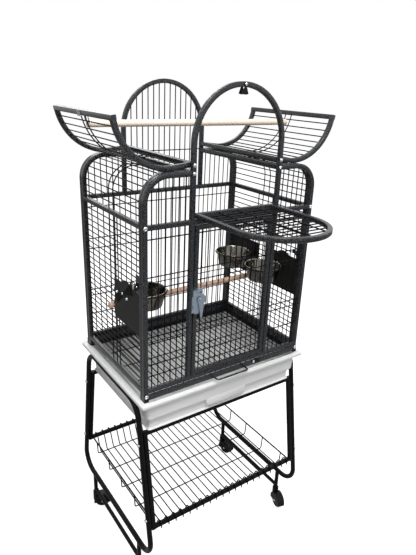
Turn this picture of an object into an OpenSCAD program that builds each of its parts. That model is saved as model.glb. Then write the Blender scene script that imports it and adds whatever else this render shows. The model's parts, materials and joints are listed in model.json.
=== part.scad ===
// Bird cage on a rolling stand.
// A square-tube cage with an opening play top stands in a plastic tray, and the tray hangs in a wheeled stand.
// X runs to the right, Y to the back and Z up. The origin lies on the floor, under the middle of the cage.

/* [Cage] */
// Outside width of the cage
cage_w = 559; // [500:1:640]
// Outside depth of the cage, over its front and rear frames
cage_d = 394; // [360:1:440]
// Side of the square tube that the frames are made of
tube = 12.7; // [11.5:0.1:14]
// Chamfer along the corners of the square tube
tube_edge = 1.6; // [1:0.1:2.4]
// Height of the bottom rails' centre line over the cage's lower end
base_rail_z = 27.35; // [24:0.05:40]
// Height of the mid rails' centre line
mid_rail_z = 481; // [450:1:500]
// Height of the shoulders' centre line
shoulder_z = 602; // [596:1:612]
// Centre-line radius of the bent shoulders
shoulder_r = 64; // [40:1:80]
// Half of the distance between the centre lines of the arch's legs
arch_half = 139.2; // [125:0.1:150]
// Height of the arch's crown, at its centre line
crown_z = 809; // [790:1:850]

/* [Wires] */
// Diameter of the bar wires
wire = 3; // [2:0.1:4]
// Distance between the upright bars of the front, and between the bars of the arches
bar_pitch = 19; // [15:0.5:26]
// Number of upright bars in the rear panel
rear_bars = 28; // [20:1:34]
// Number of level bars in a side panel, below its mid rail
side_bars = 25; // [16:1:26]
// Height of the lowest level bar over the bottom rail
side_low_gap = 21.8; // [15:0.1:26]
// Number of level bars over a shoulder, above the mid rail
shoulder_bars = 11; // [7:1:13]
// Half of the distance between the paired bars in the middle of the sides
pair_half = 13; // [11.5:0.5:15]

// Height of the level bar in the rear arch
arch_cross_z = 606; // [590:1:660]

/* [Play top] */
// Height of the play top's hinges
dome_hinge_z = 622; // [619:0.5:632]
// Angle that a half of the play top is opened to
dome_open = 96.8; // [80:0.1:96.9]
// Gap between a half of the play top and the arches, and between its two halves
dome_gap = 1.5; // [1:0.1:3]
// Number of level bars in a half of the play top
dome_bars = 12; // [8:1:16]
// Distance between those bars along the bend, starting at the end tube
dome_pitch = 19.9; // [15:0.1:22]
// Diameter of the upper perch
perch_d = 18; // [14:0.5:20]
// Length of the upper perch
perch_len = 654; // [620:1:655]

/* [Landing door] */
// Height of the landing door's hinge line
landing_z = 496; // [494.6:0.1:510]
// Length of the landing door's straight legs, from the hinge line
landing_straight = 161.6; // [120:0.1:170]
// Gap between a door and the opening that it closes
door_gap = 2.5; // [1.5:0.1:4]
// Length of the turn latch over the landing door, from its screw
fan_len = 24; // [18:0.5:30]

/* [Main door] */
// Gap under the main door
door_foot_gap = 1.3; // [1:0.1:3]
// Height of the latch's centre
latch_z = 268; // [200:1:400]

/* [Feeders] */
// Distance of a feeder door's hinge from the middle of the side
feeder_hinge_y = 22; // [20.5:0.5:24]
// Height of the lower edge of the feeder doors
feeder_low_z = 186; // [150:1:220]
// Height of the upper edge of the feeder doors, beside the bump
feeder_top_z = 303; // [290:1:320]
// Thickness of the feeder doors' sheet
sheet = 1.5; // [1:0.1:2]
// Distance of the bump's middle on a feeder door from the middle of the side
bump_y = 98; // [90:1:110]
// Reach of the bump over the upper edge
bump_h = 13; // [8:1:18]
// Radius of the bump
bump_r = 43; // [36:1:50]
// Length of the turn latches of the feeder doors, from tip to tip
turn_len = 100; // [70:1:104]
// Height of their screws
turn_z = 275.4; // [270:0.2:280]
// Height of the feeder rings
ring_z = 270; // [262:1:276]
// Distance of the rings' centres from the middle of the side
ring_y = 79; // [76:1:84]
// Diameter of the feeder ring's rod
ring_rod = 4; // [3:0.1:4.5]
// Diameter over the rim of a feeding cup
cup_d = 118; // [108:1:119]
// Height of a feeding cup
cup_h = 47; // [30:1:60]
// Number of the level bar that the inner perch sits on, counted from below
perch_bar = 10; // [6:1:12]
// Diameter of the inner perch
inner_perch_d = 17; // [12:0.5:19]

/* [Grate] */
// Height of the flange at the front of the grate
flange_h = 19; // [14:0.5:19]
// Diameter of the rods round the grate
grate_rod = 4; // [3:0.1:5]
// Reach of the grate's handle in front of its flange
handle_reach = 26; // [18:1:40]
// Width of the grate's handle
handle_w = 112.7; // [80:0.1:160]

/* [Tray] */
// Reach of the tray's rim past the middle of the loops' top tubes
rim_past = 7; // [6:0.5:20]
// Depth over the tray's rim
rim_d = 428; // [420:1:460]
// Height of the skirt round the rim
skirt_h = 10; // [8:0.5:20]
// Width of the tray's body under the rim
body_w = 544; // [500:1:546]
// Depth of the tray's body under the rim
body_d = 404; // [380:1:410]
// Depth from the rim to the ledge round the tray
ledge_depth = 63; // [50:1:80]
// Depth from the rim to the tray's underside
tray_depth = 101; // [90:1:112]
// Thickness of the tray's walls
tray_wall = 3; // [2:0.1:4]
// Corner radius of the tray's rim
rim_corner = 6; // [4:0.5:20]
// Corner radius of the tray's body
body_corner = 11; // [8:0.5:16]

/* [Stand] */
// Diameter of the stand's round tube
stand_tube = 16; // [14:0.5:18]
// Half of the distance between the two side loops
loop_half = 287; // [286:0.5:300]
// Height of the loops' top tubes over the floor
loop_top_z = 645; // [600:1:700]
// Height of the loops' bottom tubes over the floor
loop_bottom_z = 145; // [110:1:200]
// Half depth of a loop at its top tube
loop_top_y = 168.6; // [150:1:190]
// Half depth of a loop at its bottom tube
loop_bottom_y = 254; // [200:1:280]
// Centre-line radius of the loops' corners
loop_r = 55; // [35:1:60]
// Half of the distance between the caster posts of a side
post_y = 170; // [140:1:190]
// Height of the foot bars over the floor
foot_z = 77; // [75:1:90]
// Height of the ladders' top rails over the floor
ladder_top_z = 554; // [500:1:554]
// Height of the ladders' bottom rails over the floor
ladder_bottom_z = 254; // [200:1:300]
// Depth of the wire shelf under the ladders' bottom rails
shelf_drop = 46; // [30:1:60]
// Distance between the wires of the shelf
shelf_pitch = 25; // [20:0.5:32]
// Number of long wires in the shelf
shelf_wires = 21; // [11:2:21]
// Diameter of the shelf's wires
shelf_wire = 3.2; // [2.5:0.1:4]

/* [Casters] */
// Diameter of the caster wheels
wheel_d = 50; // [40:1:56]
// Width of the caster wheels
wheel_w = 20; // [14:0.5:24]
// Distance of a wheel's axle from the swivel line
trail = 22; // [16:0.5:26]
// Diameter of the caster stems
stem_d = 8; // [6:0.5:9]

/* [Fits] */
// Clearance round pins, axles and stems
pin_fit = 0.08; // [0.05:0.01:0.1]
// Gap between pieces that rest on each other or slide
seat_gap = 0.3; // [0.2:0.05:0.4]

/* [Hidden] */
$fn = 48;

// Places of the frames' tubes
half = tube / 2;
post_x = cage_w / 2 - half;
front_y = -cage_d / 2 + half;
side_y = cage_d / 2 - 1.5 * tube;
inner_x = post_x - half;
inner_y = side_y - half;
bend_x = post_x - shoulder_r;
bend_z = shoulder_z - shoulder_r;
arch_bend_z = crown_z - arch_half;
base_top = base_rail_z + half;
base_bottom = base_rail_z - half;
mid_top = mid_rail_z + half;
mid_bottom = mid_rail_z - half;
leg_out = arch_half + half;
leg_in = arch_half - half;
wire_r = wire / 2;

// Bars
layer = 0.8 * wire;
wire_stop = 0.2;
cross_z = [102.5, 165.5, 185, 320, 352, 450];
front_bars = floor((inner_x - leg_out) / bar_pitch);
front_bar_x0 = (inner_x + leg_out - (front_bars - 1) * bar_pitch) / 2;
rear_pitch = 2 * inner_x / (rear_bars + 1);
side_pitch = (mid_bottom - base_top - side_low_gap) / side_bars;
arch_bars = 2 * floor((leg_in - wire) / bar_pitch) + 1;

// Play top: its closed shape is a straight leg and a quarter bend, and it is drawn opened
dome_leg = arch_bend_z - dome_hinge_z;
dome_y = cage_d / 2 - tube - dome_gap;
dome_tube_y = dome_y - half;
dome_end = asin((half + dome_gap / 2) / arch_half);
seat_bar = 2;
perch_z = dome_point(seat_bar * dome_pitch)[1] + wire_r + seat_gap + perch_d / 2;

// Doors
landing_half = leg_in - door_gap - half;
landing_in = landing_half - half;
landing_bars = floor((landing_straight + landing_in - half - wire) / bar_pitch);
door_half = leg_in - door_gap - half;
door_low = base_top + door_foot_gap + half;
door_high = mid_bottom - door_gap - half;
door_bars = floor(2 * (door_half - half) / bar_pitch);
door_turn_x = 103.6;
door_turn_z = mid_rail_z + 2.2;
door_turn_washer = 1.5;
screw_d = 5;
screw_head_d = 12;
screw_head_h = 2.6;

// Feeders
feeder_in_y = 34;
rod_x = post_x + wire;
plate_x = post_x + half - sheet - 0.95;
plate_far_y = inner_y - 1.1;
cup_r = cup_d / 2;
bowl_r = cup_r - 3;
base_r = 0.78 * cup_r;
cup_x = post_x - wire_r - seat_gap - cup_r - 1;
ring_hold = 30;
knuckle_r = 3;
turn_y = 81.7;

// Stand
rim_z = loop_top_z + stand_tube / 2 + skirt_h;
rim_w = 2 * (loop_half + rim_past);
foot_pad = 4;
cage_z = rim_z + foot_pad;
leg_tilt = atan((loop_bottom_y - loop_top_y) / (loop_top_z - loop_bottom_z));
ladder_x = loop_half - stand_tube / 2 - half;
foot_tube = 14;

// Colours
frame_colour = "dimgray";
stand_colour = [0.13, 0.12, 0.12];
chrome_colour = "silver";

// ---- Shared forms ----

// Outline of the square tube, with its chamfered corners
module tube_outline() {
    h = half;
    c = tube_edge;
    polygon([[c - h, -h], [h - c, -h], [h, c - h], [h, h - c], [h - c, h], [c - h, h], [-h, h - c], [-h, c - h]]);
}

module bar_x(from, to) {
    translate([from, 0, 0]) rotate([90, 0, 90]) linear_extrude(to - from) tube_outline();
}

module bar_y(from, to) {
    translate([0, to, 0]) rotate([90, 0, 0]) linear_extrude(to - from) tube_outline();
}

module bar_z(from, to) {
    translate([0, 0, from]) linear_extrude(to - from) tube_outline();
}

// Bent square tube in the XZ plane, from an angle over +X through a sweep
module bend_xz(radius, from, sweep) {
    rotate([90, 0, 0]) rotate([0, 0, from]) rotate_extrude(angle = sweep) translate([radius, 0]) tube_outline();
}

// Straight wires: eight-sided rods whose flats lie square to the axes
module rod(length, d) {
    rotate([0, 0, 22.5]) cylinder(h = length, d = d / cos(22.5), $fn = 8);
}

module wire_x(from, to, d = wire) {
    translate([from, 0, 0]) rotate([0, 90, 0]) rod(to - from, d);
}

module wire_y(from, to, d = wire) {
    translate([0, from, 0]) rotate([-90, 0, 0]) rod(to - from, d);
}

module wire_z(from, to, d = wire) {
    translate([0, 0, from]) rod(to - from, d);
}

// Bent wire in the XZ plane
module wire_bend_xz(radius, from, sweep, d = wire) {
    rotate([90, 0, 0]) rotate([0, 0, from]) rotate_extrude(angle = sweep) translate([radius, 0])
        rotate([0, 0, 22.5]) circle(d = d / cos(22.5), $fn = 8);
}

// Straight rod between two points, its ends run on by a little to fill the corners
module rod_between(a, b, d, over = 0) {
    v = b - a;
    length = norm(v);
    translate(a) rotate([0, acos(v[2] / length), atan2(v[1], v[0])])
        translate([0, 0, -over]) rod(length + 2 * over, d);
}

module on_tray() {
    translate([0, 0, cage_z]) children();
}

module both_sides() {
    children();
    mirror([1, 0, 0]) children();
}

module front_and_rear() {
    children();
    mirror([0, 1, 0]) children();
}

// Domed screw head on a face that looks along -Y, with its face at the origin
module screw_head_y(d = screw_head_d, h = screw_head_h) {
    rotate([90, 0, 0]) {
        cylinder(h = h * 0.45, d = d);
        intersection() {
            translate([0, 0, h - (d * d / 4 + h * h) / (2 * h)]) sphere(r = (d * d / 4 + h * h) / (2 * h));
            cylinder(h = h, d = d);
        }
    }
}

// ---- Frames ----

// Post with its bent shoulder on the left, ending at a given distance from the middle
module shouldered_post(low, end_x) {
    translate([-post_x, 0, 0]) bar_z(low, bend_z);
    translate([-bend_x, 0, bend_z]) bend_xz(shoulder_r, 90, 90);
    translate([0, 0, shoulder_z]) bar_x(-bend_x, -end_x);
}

module end_frame() {
    both_sides() shouldered_post(0, leg_out);
    translate([0, 0, mid_rail_z]) bar_x(-post_x, post_x);
    translate([0, 0, base_rail_z]) bar_x(-post_x, post_x);
}

module front_frame() {
    color(frame_colour) on_tray() translate([0, front_y, 0]) difference() {
        union() {
            end_frame();
            both_sides() translate([-arch_half, 0, 0]) bar_z(base_rail_z, mid_rail_z);
        }
        door_pin_bores();
        translate([-door_turn_x, 0, door_turn_z]) rotate([90, 0, 0])
            cylinder(h = 2 * tube, d = screw_d + 2 * pin_fit, center = true);
    }
}

module rear_frame() {
    color(frame_colour) on_tray() translate([0, -front_y, 0]) end_frame();
}

module arch() {
    both_sides() translate([-arch_half, 0, 0]) bar_z(mid_top, arch_bend_z);
    translate([0, 0, arch_bend_z]) bend_xz(arch_half, 0, 180);
}

module dome_pin_bores() {
    both_sides() translate([-arch_half, 0, dome_hinge_z]) rotate([90, 0, 0])
        cylinder(h = 2 * tube, d = screw_d, center = true);
}

module front_arch() {
    color(frame_colour) on_tray() translate([0, front_y, 0]) difference() {
        arch();
        dome_pin_bores();
        both_sides() translate([-leg_in, 0, landing_z]) rotate([0, 90, 0])
            cylinder(h = tube, d = screw_d, center = true);
        translate([0, 0, crown_z]) rotate([90, 0, 0])
            cylinder(h = 2 * tube, d = screw_d + 2 * pin_fit, center = true);
    }
}

module rear_arch() {
    color(frame_colour) on_tray() translate([0, -front_y, 0]) difference() {
        arch();
        dome_pin_bores();
    }
}

// Side frame: two shouldered uprights between the end frames, joined by three rails
module side_frame() {
    front_and_rear() translate([0, -side_y, 0]) shouldered_post(0, arch_half);
    for (z = [base_rail_z, mid_rail_z]) translate([-post_x, 0, z]) bar_y(-side_y, side_y);
    translate([-arch_half, 0, shoulder_z]) bar_y(-side_y - half, side_y + half);
}

module side_frame_left() {
    color(frame_colour) on_tray() side_frame();
}

module side_frame_right() {
    color(frame_colour) on_tray() mirror([1, 0, 0]) side_frame();
}

// ---- Bars ----

// Room under a shoulder in the XZ plane, from the mid rail up, less a gap at the tube
module under_shoulder(gap) {
    rotate([90, 0, 0]) linear_extrude(cage_d, center = true) {
        translate([-inner_x, 0]) square([inner_x - leg_out, bend_z]);
        translate([-bend_x, bend_z]) circle(r = shoulder_r - half - gap);
        translate([-bend_x, 0]) square([bend_x - leg_out, shoulder_z - half]);
    }
}

// Upright and level bars of the front, left of the door
module front_panel_wires() {
    for (i = [0 : front_bars - 1]) translate([-front_bar_x0 - i * bar_pitch, 0, 0]) wire_z(base_top, mid_bottom);
    for (z = cross_z) translate([0, layer, z]) wire_x(-inner_x, -leg_out);
    intersection() {
        for (i = [0 : front_bars - 1]) translate([-front_bar_x0 - i * bar_pitch, 0, 0]) wire_z(mid_top, shoulder_z);
        under_shoulder(wire_stop);
    }
}

module front_wires_left() {
    color(frame_colour) on_tray() translate([0, front_y, 0]) front_panel_wires();
}

module front_wires_right() {
    color(frame_colour) on_tray() translate([0, front_y, 0]) mirror([1, 0, 0]) front_panel_wires();
}

module rear_wires() {
    color(frame_colour) on_tray() translate([0, -front_y, 0]) {
        for (i = [1 : rear_bars]) translate([-inner_x + i * rear_pitch, 0, 0]) wire_z(base_top, mid_bottom);
        for (z = cross_z) translate([0, -layer, z]) wire_x(-inner_x, inner_x);
        both_sides() intersection() {
            for (i = [0 : front_bars - 1])
                translate([-front_bar_x0 - i * bar_pitch, 0, 0]) wire_z(mid_top, shoulder_z);
            under_shoulder(wire_stop);
        }
        intersection() {
            union() {
                for (i = [0 : arch_bars - 1])
                    translate([(i - (arch_bars - 1) / 2) * bar_pitch, 0, 0]) wire_z(mid_top, crown_z);
                translate([0, -layer, arch_cross_z]) wire_x(-arch_half, arch_half);
            }
            translate([0, 0, arch_bend_z]) rotate([90, 0, 0]) linear_extrude(tube, center = true) {
                circle(r = leg_in - wire_stop);
                translate([-leg_in, mid_top - arch_bend_z]) square([2 * leg_in, arch_bend_z - mid_top]);
            }
        }
    }
}

// Level bars of a side below the mid rail. Openings list the ends of the bars beside a feeder door
module side_wires(front_open, rear_open) {
    translate([-post_x, 0, 0]) {
        for (i = [1 : side_bars]) {
            z = bar_level(i);
            beside = z > feeder_low_z + wire && z < feeder_top_z - wire;
            translate([0, 0, z])
                wire_y(beside && front_open ? -feeder_in_y - wire_r : -inner_y,
                       beside && rear_open ? feeder_in_y + wire_r : inner_y);
        }
        for (y = [-pair_half, pair_half]) translate([layer, y, 0]) wire_z(base_top, mid_bottom);
        if (front_open) translate([layer, -feeder_in_y, 0]) wire_z(base_top, mid_bottom);
        if (rear_open) translate([layer, feeder_in_y, 0]) wire_z(base_top, mid_bottom);
    }
}

module side_wires_left() {
    color(frame_colour) on_tray() side_wires(true, false);
}

module side_wires_right() {
    color(frame_colour) on_tray() mirror([1, 0, 0]) side_wires(true, true);
}

// Bars over a shoulder: level bars along the mid rail, the bend and the top, with the bent middle pair
module shoulder_wires() {
    rise = bend_z - mid_top;
    arc = PI / 2 * shoulder_r;
    run = bend_x - leg_out;
    step = (rise + arc + run) / (shoulder_bars + 1);
    for (i = [1 : shoulder_bars]) {
        s = i * step;
        p = shoulder_point(s, rise, arc);
        translate([p[0], 0, p[1]]) rotate([0, p[2], 0]) wire_y(-inner_y, inner_y);
    }
    for (y = [-pair_half, pair_half]) translate([0, y, 0]) {
        translate([-post_x + layer, 0, 0]) wire_z(mid_top, bend_z);
        translate([-bend_x, 0, bend_z]) wire_bend_xz(shoulder_r - layer, 90, 90);
        translate([0, 0, shoulder_z - layer]) wire_x(-bend_x, -leg_out);
    }
}

// Place on the shoulder's centre line at a distance over the mid rail, with the slope there
function shoulder_point(s, rise, arc) =
    s < rise ? [-post_x, mid_top + s, 0]
    : s < rise + arc ? [-bend_x - shoulder_r * cos((s - rise) / arc * 90),
                        bend_z + shoulder_r * sin((s - rise) / arc * 90), (s - rise) / arc * 90]
    : [-bend_x + s - rise - arc, shoulder_z, 90];

module shoulder_wires_left() {
    color(frame_colour) on_tray() shoulder_wires();
}

module shoulder_wires_right() {
    color(frame_colour) on_tray() mirror([1, 0, 0]) shoulder_wires();
}

// ---- Base of the cage ----

channel_low = 1;
channel_ledge = 14;

module base_channel() {
    color(frame_colour) on_tray() {
        both_sides() {
            translate([-inner_x, -side_y, channel_low]) cube([sheet, 2 * side_y, base_bottom - channel_low]);
            translate([-inner_x, -side_y, channel_low]) cube([channel_ledge, 2 * side_y, sheet]);
            translate([-inner_x - half, -inner_y, base_bottom - sheet]) cube([half + sheet, 2 * inner_y, sheet]);
        }
        translate([-inner_x, inner_y - sheet, channel_low]) cube([2 * inner_x, sheet, base_bottom - channel_low]);
        translate([-inner_x, inner_y - sheet, base_bottom - sheet])
            cube([2 * inner_x, sheet - inner_y - front_y, sheet]);
        translate([-inner_x, inner_y - channel_ledge, channel_low]) cube([2 * inner_x, channel_ledge, sheet]);
    }
}

// Plastic feet under the corners, with a lip up the outside of the post
foot_lip_h = 20;
foot_lip = 1.6;

module corner_feet() {
    color([0.1, 0.1, 0.1]) on_tray() both_sides() front_and_rear() {
        translate([-post_x - half, -cage_d / 2, -foot_pad]) cube([tube, 2 * tube, foot_pad]);
        translate([-post_x, -cage_d / 2 - foot_lip, -foot_pad]) {
            translate([-half, 0, 0]) cube([tube, foot_lip, foot_lip_h - half + foot_pad]);
            translate([0, foot_lip, foot_lip_h - half + foot_pad]) rotate([90, 0, 0]) cylinder(h = foot_lip, d = tube);
        }
    }
}

// Bright screws that hold the frames together
module frame_screws() {
    color(chrome_colour) on_tray() front_and_rear() {
        both_sides() {
            translate([-post_x, -cage_d / 2, mid_rail_z]) screw_head_y();
            translate([-arch_half, -cage_d / 2, shoulder_z]) screw_head_y(10);
            translate([-post_x, -cage_d / 2 - foot_lip, foot_lip_h - half]) screw_head_y();
        }
    }
}

// Pins that the play top, the landing door and the main door turn on
pin_reach = 12;

module hinge_pins() {
    color(chrome_colour) on_tray() {
        front_and_rear() both_sides() translate([-arch_half, -cage_d / 2, dome_hinge_z]) {
            screw_head_y(10);
            rotate([-90, 0, 0]) cylinder(h = tube + dome_gap + pin_reach, d = screw_d);
        }
        both_sides() translate([-arch_half, front_y, landing_z]) rotate([0, 90, 0])
            cylinder(h = half + door_gap + pin_reach, d = screw_d);
        translate([door_half, front_y, base_rail_z])
            cylinder(h = door_low - base_rail_z + pin_reach, d = screw_d);
        translate([door_half, front_y, door_high - pin_reach])
            cylinder(h = mid_rail_z - door_high + pin_reach, d = screw_d);
    }
}

// Sockets of the main door's pins in the rails
module door_pin_bores() {
    translate([door_half, 0, base_rail_z]) cylinder(h = tube, d = screw_d);
    translate([door_half, 0, mid_rail_z - tube]) cylinder(h = tube, d = screw_d);
}

// ---- Play top ----

// Place on a half's centre line in its opened state, at a distance along it from the end tube
function dome_point(s) = dome_turn(dome_closed(s));
function dome_closed(s) =
    let (arc = PI * arch_half * (90 - dome_end) / 180)
    s < arc ? [-arch_half * sin(dome_end + s / arc * (90 - dome_end)) ,
               arch_bend_z + arch_half * cos(dome_end + s / arc * (90 - dome_end)),
               dome_end + s / arc * (90 - dome_end)]
    : [-arch_half, arch_bend_z - (s - arc), 90];
function dome_turn(p) =
    let (x = p[0] + arch_half, z = p[1] - dome_hinge_z)
    [-arch_half + x * cos(dome_open) - z * sin(dome_open), dome_hinge_z + x * sin(dome_open) + z * cos(dome_open), p[2]];

// Carries a closed left half over to its opened place
module opened() {
    translate([-arch_half, 0, dome_hinge_z]) rotate([0, -dome_open, 0]) translate([arch_half, 0, -dome_hinge_z])
        children();
}

module dome_frame() {
    end_x = arch_half * sin(dome_end);
    end_z = arch_bend_z + arch_half * cos(dome_end);
    opened() difference() {
        union() {
            front_and_rear() translate([0, -dome_tube_y, 0]) {
                translate([-arch_half, 0, 0]) bar_z(dome_hinge_z, arch_bend_z);
                translate([0, 0, arch_bend_z]) bend_xz(arch_half, 180, dome_end - 90);
            }
            translate([-arch_half, 0, dome_hinge_z]) bar_y(-dome_y, dome_y);
            translate([-end_x, 0, end_z]) rotate([0, -dome_end, 0]) bar_y(-dome_y, dome_y);
        }
        for (side = [-1, 1]) translate([-arch_half, side * dome_y, dome_hinge_z]) rotate([90, 0, 0])
            cylinder(h = 2 * (pin_reach + 1), d = screw_d + 2 * pin_fit, center = true);
    }
}

module dome_wires() {
    inner = dome_y - tube;
    arc = PI * arch_half * (90 - dome_end) / 180;
    opened() {
        for (i = [1 : dome_bars]) {
            p = dome_closed(i * dome_pitch);
            translate([p[0], 0, p[1]]) rotate([0, -p[2], 0]) wire_y(-inner, inner);
        }
        for (y = [-pair_half, pair_half]) translate([0, y, 0]) {
            translate([0, 0, arch_bend_z])
                wire_bend_xz(arch_half - layer, 180, dome_end + asin((half + wire_stop) / arch_half) - 90);
            translate([-arch_half + layer, 0, 0]) wire_z(dome_hinge_z + half, arch_bend_z);
        }
    }
}

module dome_frame_left() {
    color(frame_colour) on_tray() dome_frame();
}

module dome_frame_right() {
    color(frame_colour) on_tray() rotate([0, 0, 180]) dome_frame();
}

module dome_wires_left() {
    color(frame_colour) on_tray() dome_wires();
}

module dome_wires_right() {
    color(frame_colour) on_tray() rotate([0, 0, 180]) dome_wires();
}

// Bright twin hook strapped to the left end tube, which holds the two halves shut, and a gate hook with
// its eye under the hinge tube
hook_rod = 3;
hook_tilt = 6;
strap = 1.2;
strap_half = 11;
gate_hook_len = 105;
gate_hook_eye = 3.5;

module dome_hooks() {
    inner = tube + 2 * seat_gap;
    outer = inner + 2 * strap;
    hook_z = -outer / 2 - hook_rod * 0.3;
    tip = dome_point(0);
    color(chrome_colour) on_tray() {
        translate([tip[0], 0, tip[1]]) rotate([0, -dome_open - dome_end, 0]) {
            difference() {
                cube([outer, 2 * strap_half, outer], center = true);
                cube([inner, 3 * strap_half, inner], center = true);
                translate([half - tube_edge, -2 * strap_half, -outer]) cube([outer, 4 * strap_half, 2 * outer]);
            }
            for (y = [-1, 1] * (strap_half + 0.4))
                translate([0, y, hook_z]) rotate([0, -hook_tilt, 0]) wire_x(-24, 6, hook_rod);
        }
        translate([-arch_half, 0, dome_hinge_z]) rotate([0, -dome_open, 0]) translate([-half, 0, 0]) {
            translate([-hook_rod / 2 - seat_gap, 0, 0]) {
                wire_y(-gate_hook_len, gate_hook_eye, hook_rod);
                translate([0, 3 * gate_hook_eye, 0]) rotate([0, 90, 0]) rotate_extrude()
                    translate([2 * gate_hook_eye, 0]) circle(d = hook_rod);
            }
            for (y = [-0.9 * gate_hook_len, -gate_hook_eye]) translate([0, y, 0])
                wire_x(-hook_rod / 2 - seat_gap, 0, hook_rod);
        }
    }
}

module top_perch() {
    color("burlywood") on_tray() translate([0, 0, perch_z]) rotate([0, 90, 0])
        cylinder(h = perch_len, d = perch_d, center = true);
}

// ---- Landing door ----

// Outline of the landing door's room between its tubes, standing up from the hinge line
module landing_field(gap) {
    translate([0, landing_straight]) circle(r = landing_in - gap);
    translate([-landing_in, 0]) square([2 * landing_in, landing_straight]);
}

// Lays a door that is drawn standing down to the front
module laid_down() {
    translate([0, front_y, landing_z]) rotate([90, 0, 0]) children();
}

module landing_frame() {
    color(frame_colour) on_tray() laid_down() difference() {
        union() {
            both_sides() translate([-landing_half, 0, 0]) bar_z(0, landing_straight);
            translate([0, 0, landing_straight]) bend_xz(landing_half, 0, 180);
            bar_x(-landing_half - half, landing_half + half);
        }
        for (side = [-1, 1]) translate([side * (landing_half + half), 0, 0]) rotate([0, 90, 0])
            cylinder(h = 2 * (pin_reach + 1), d = screw_d + 2 * pin_fit, center = true);
    }
}

module landing_wires() {
    color(frame_colour) on_tray() laid_down() intersection() {
        union() {
            for (i = [1 : landing_bars]) translate([0, 0, half + i * bar_pitch]) wire_x(-landing_in, landing_in);
            for (x = [-0.5, 0, 0.5] * landing_half)
                translate([x, layer, 0]) wire_z(half, landing_straight + landing_in);
        }
        rotate([90, 0, 0]) linear_extrude(tube, center = true) landing_field(wire_stop);
    }
}

// Turn latch at the crown: a fan in front of the arch and one behind it, on one screw
module arch_latch() {
    color([0.12, 0.12, 0.13]) on_tray() translate([0, 0, crown_z]) {
        translate([0, -cage_d / 2 - seat_gap, 0]) fan(2);
        translate([0, -cage_d / 2 + tube + 1.2, 0]) fan(1);
        translate([0, -cage_d / 2 + tube + 1.2, 0]) rotate([90, 0, 0]) cylinder(h = tube + 2, d = screw_d);
    }
    color(chrome_colour) on_tray() translate([0, -cage_d / 2 - seat_gap - 2, crown_z]) screw_head_y(8, 2);
}

// Turn latch over the main door, turned aside along the mid rail
module door_turn() {
    color([0.12, 0.12, 0.13]) on_tray() translate([-door_turn_x, -cage_d / 2, door_turn_z]) {
        rotate([90, 0, 0]) translate([0, 0, seat_gap]) cylinder(h = door_turn_washer, d = 9);
        translate([0, -seat_gap - door_turn_washer, 0]) rotate([0, -90, 0]) fan(2);
        rotate([-90, 0, 0]) translate([0, 0, -seat_gap - 1]) cylinder(h = tube + seat_gap, d = screw_d);
        translate([0, -seat_gap - door_turn_washer - 2, 0]) screw_head_y(8, 2);
    }
}

module fan(t) {
    rotate([90, 0, 0]) linear_extrude(t) {
        circle(d = 9);
        intersection() {
            circle(r = fan_len);
            polygon([[0, 2], [-fan_len * sin(25), -fan_len], [fan_len * sin(25), -fan_len]]);
        }
    }
}

// ---- Main door ----

module door_frame() {
    color(frame_colour) on_tray() translate([0, front_y, 0]) difference() {
        union() {
            both_sides() translate([-door_half, 0, 0]) bar_z(door_low - half, door_high + half);
            for (z = [door_low, door_high]) translate([0, 0, z]) bar_x(-door_half, door_half);
        }
        for (z = [door_low - half, door_high + half]) translate([door_half, 0, z])
            cylinder(h = 2 * (pin_reach + half + 1), d = screw_d + 2 * pin_fit, center = true);
    }
}

module door_wires() {
    color(frame_colour) on_tray() translate([0, front_y, 0]) {
        for (i = [1 : door_bars])
            translate([(i - (door_bars + 1) / 2) * bar_pitch, 0, 0]) wire_z(door_low + half, door_high - half);
        for (z = cross_z) translate([0, layer, z]) wire_x(half - door_half, door_half - half);
    }
}

// Cast latch on the door's stile: a stepped case that covers the gap and a lobe for the lever's pin
case_t = 5;
lever_x = 12;
lever_pin = 6;

module latch_case() {
    color("lightsteelblue") on_tray() translate([-door_half, -cage_d / 2, latch_z]) difference() {
        union() {
            translate([-half, -case_t, -40]) cube([14, case_t, 73]);
            translate([-16.7, -case_t - 3, -34]) cube([13, case_t + 3, 62]);
            translate([-16.7, -case_t - 8, 14]) cube([30, case_t + 8, 19]);
            translate([-14, -case_t - 6, -22]) cube([8, case_t + 6, 12]);
            translate([lever_x, 0, -2]) rotate([90, 0, 0]) cylinder(h = case_t, d = 36);
        }
        translate([8, -20, 24]) rotate([-90, 0, 0]) cylinder(h = 30, d = 6);
        translate([lever_x, -case_t, 0]) rotate([90, 0, 0])
            cylinder(h = case_t, d = lever_pin + 2 * pin_fit, center = true);
    }
}

module latch_lever() {
    color("lightsteelblue") on_tray() translate([lever_x - door_half, -cage_d / 2 - case_t - seat_gap, latch_z])
        rotate([90, 0, 0]) {
            linear_extrude(4) {
                circle(d = 23);
                polygon([[-9, 0], [11.5, 0], [7, -30], [4, -53], [-1, -53], [-4, -30]]);
            }
            cylinder(h = 6.5, d = 12);
            translate([0, 0, -seat_gap - 2]) cylinder(h = seat_gap + 3, d = lever_pin);
        }
}

// ---- Feeders, drawn at the front of the left side ----

module feeder_plate() {
    rotate([0, -90, 0]) linear_extrude(sheet) {
        translate([feeder_low_z, -plate_far_y]) square([feeder_top_z - feeder_low_z, plate_far_y - feeder_hinge_y - 2]);
        translate([feeder_top_z + bump_h - bump_r, -bump_y]) circle(r = bump_r);
    }
}

// Height of a level bar of the sides, counted from below, and the middle between it and the next
function bar_level(n) = base_top + side_low_gap + (n - 1) * side_pitch;
function between_bars(n) = bar_level(n) + side_pitch / 2;

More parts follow.
